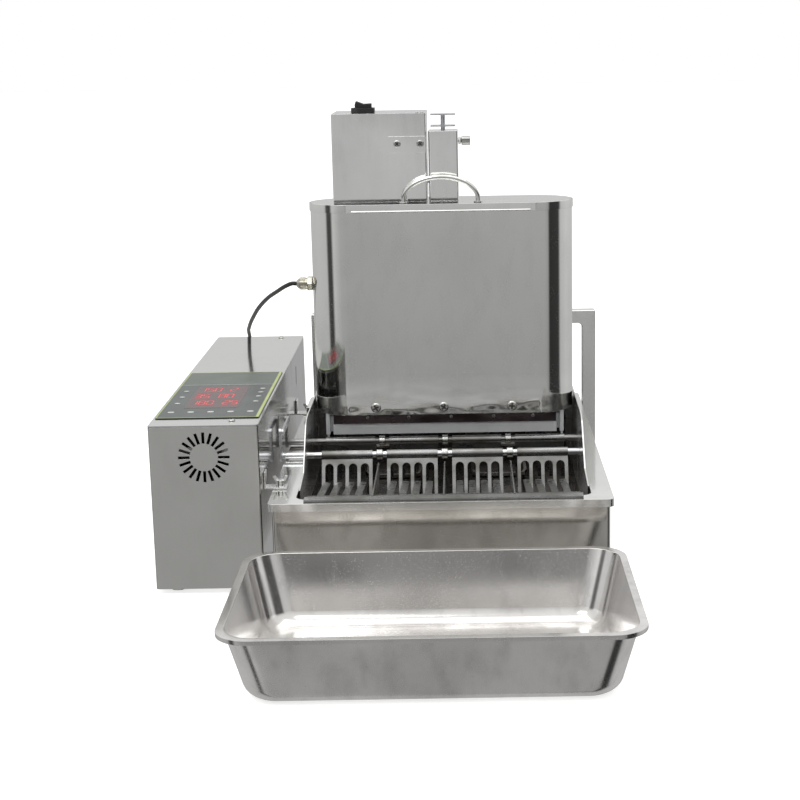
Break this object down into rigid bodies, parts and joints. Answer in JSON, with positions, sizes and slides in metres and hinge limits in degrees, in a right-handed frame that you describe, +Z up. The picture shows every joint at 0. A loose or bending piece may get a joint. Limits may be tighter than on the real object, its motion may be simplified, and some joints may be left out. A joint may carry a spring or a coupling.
{
  "type": "donut maker",
  "caption": "Countertop automatic donut maker: control box, oil tank with side plates, batter hopper with plunger drive, swinging combs and a loose collecting tray.",
  "frame": {"origin": "middle of the machine's footprint, on the surface it stands on, the motor lead left out", "axes": "+Z up, +Y from the collecting tray to the back of the machine, +X to the operator's right"},
  "size_m": [0.541, 0.9602, 0.5429],
  "materials": {
    "mirror_steel": "mirror polished",
    "satin_steel": "satin, brushed",
    "aluminium_alloy": "smooth machined",
    "nickel_brass": "nickel plated, slightly worn",
    "black_plastic": "matte",
    "foot_rubber": "matte",
    "panel_film": "semi-gloss printed film",
    "key_film": "matte printed film",
    "motor_casing": "matte"
  },
  "bodies": {
    "chassis": {"oil_tank": "mirror_steel", "base_housing": "mirror_steel", "hopper": "mirror_steel", "hopper_rear_cover": "mirror_steel", "motor_box": "mirror_steel", "heater_element": "satin_steel", "heater_terminal_box": "satin_steel", "temperature_probe": "satin_steel", "side_plate_left": "satin_steel", "side_plate_right": "satin_steel", "discharge_chute": "satin_steel", "nozzle_1": "satin_steel", "nozzle_2": "satin_steel", "nozzle_3": "satin_steel", "nozzle_4": "satin_steel", "control_case": "satin_steel", "control_cover": "satin_steel", "rear_frame": "satin_steel", "strap_front": "satin_steel", "strap_rear": "satin_steel", "dosing_block": "aluminium_alloy", "drive_column": "aluminium_alloy", "hopper_gland": "nickel_brass", "control_gland": "nickel_brass", "switch_bezel": "black_plastic", "power_inlet": "black_plastic", "motor_lead": "black_plastic", "foot_front_left": "foot_rubber", "foot_front_right": "foot_rubber", "foot_rear_left": "foot_rubber", "foot_rear_right": "foot_rubber", "control_panel": "panel_film", "dosing_motor": "motor_casing", "paddle_motor": "motor_casing"},
    "turner": {"turner_shaft": "aluminium_alloy", "turner_comb_1": "satin_steel", "turner_comb_2": "satin_steel", "turner_comb_3": "satin_steel", "turner_comb_4": "satin_steel"},
    "scoop": {"scoop_shaft": "aluminium_alloy", "scoop_comb_1": "satin_steel", "scoop_comb_2": "satin_steel", "scoop_comb_3": "satin_steel", "scoop_comb_4": "satin_steel"},
    "link": {"link_rod": "aluminium_alloy"},
    "lid": {"hopper_lid": "mirror_steel", "lid_handle": "mirror_steel"},
    "tray": {"collecting_tray": "satin_steel"},
    "plungers": {"plunger_rack": "aluminium_alloy"},
    "crank": {"crank_disc": "satin_steel"},
    "conrod": {"connecting_rod": "aluminium_alloy"},
    "rocker": {"switch_rocker": "black_plastic"},
    "adjuster": {"adjusting_screw": "satin_steel"},
    "fan": {"fan_rotor": "black_plastic"},
    "key_1": {"panel_key_1": "key_film"},
    "key_2": {"panel_key_2": "key_film"},
    "key_3": {"panel_key_3": "key_film"},
    "key_4": {"panel_key_4": "key_film"},
    "key_5": {"panel_key_5": "key_film"}
  },
  "joints": [
    {"name": "turner_swing", "type": "hinge", "parent": "chassis", "child": "turner", "pos_m": [0.0605, 0.12085, 0.119], "axis": [1, 0, 0], "range_deg": [-72, 0]},
    {"name": "scoop_swing", "type": "hinge", "parent": "chassis", "child": "scoop", "pos_m": [0.0605, 0.05085, 0.119], "axis": [1, 0, 0], "range_deg": [-72, 0]},
    {"name": "link_pivot", "type": "hinge", "parent": "turner", "child": "link", "pos_m": [-0.1388, 0.12085, 0.149], "axis": [1, 0, 0], "range_deg": [0, 72]},
    {"name": "lid_lift", "type": "slide", "parent": "chassis", "child": "lid", "axis": [0, 0, 1], "range_m": [0, 0.08]},
    {"name": "tray_pull", "type": "slide", "parent": "chassis", "child": "tray", "axis": [0, -1, 0], "range_m": [0, 0.15]},
    {"name": "plunger_stroke", "type": "slide", "parent": "chassis", "child": "plungers", "axis": [0, 0, 1], "range_m": [0, 0.02]},
    {"name": "crank_turn", "type": "hinge", "parent": "chassis", "child": "crank", "pos_m": [0.0205, 0.15485, 0.495], "axis": [1, 0, 0], "continuous": true},
    {"name": "conrod_swing", "type": "hinge", "parent": "plungers", "child": "conrod", "pos_m": [0.0365, 0.15485, 0.445], "axis": [1, 0, 0], "range_deg": [-14, 14]},
    {"name": "switch_rock", "type": "hinge", "parent": "chassis", "child": "rocker", "pos_m": [-0.0349, 0.16965, 0.5344], "axis": [0, 1, 0], "range_deg": [-18, 0]},
    {"name": "adjuster_turn", "type": "hinge", "parent": "chassis", "child": "adjuster", "pos_m": [0.0905, 0.15485, 0.4931], "axis": [1, 0, 0], "continuous": true},
    {"name": "fan_spin", "type": "hinge", "parent": "chassis", "child": "fan", "pos_m": [-0.2085, -0.09915, 0.161], "axis": [0, 1, 0], "continuous": true},
    {"name": "key_1_press", "type": "slide", "parent": "chassis", "child": "key_1", "axis": [0, 0, -1], "range_m": [0, 0.0004], "stiffness_N_per_m": 1000},
    {"name": "key_2_press", "type": "slide", "parent": "chassis", "child": "key_2", "axis": [0, 0, -1], "range_m": [0, 0.0004], "stiffness_N_per_m": 1000},
    {"name": "key_3_press", "type": "slide", "parent": "chassis", "child": "key_3", "axis": [0, 0, -1], "range_m": [0, 0.0004], "stiffness_N_per_m": 1000},
    {"name": "key_4_press", "type": "slide", "parent": "chassis", "child": "key_4", "axis": [0, 0, -1], "range_m": [0, 0.0004], "stiffness_N_per_m": 1000},
    {"name": "key_5_press", "type": "slide", "parent": "chassis", "child": "key_5", "axis": [0, 0, -1], "range_m": [0, 0.0004], "stiffness_N_per_m": 1000}
  ],
  "couplings": [
    {"joint": "scoop_swing", "follows": "turner_swing", "ratio": 1},
    {"joint": "link_pivot", "follows": "turner_swing", "ratio": -1}
  ]
}
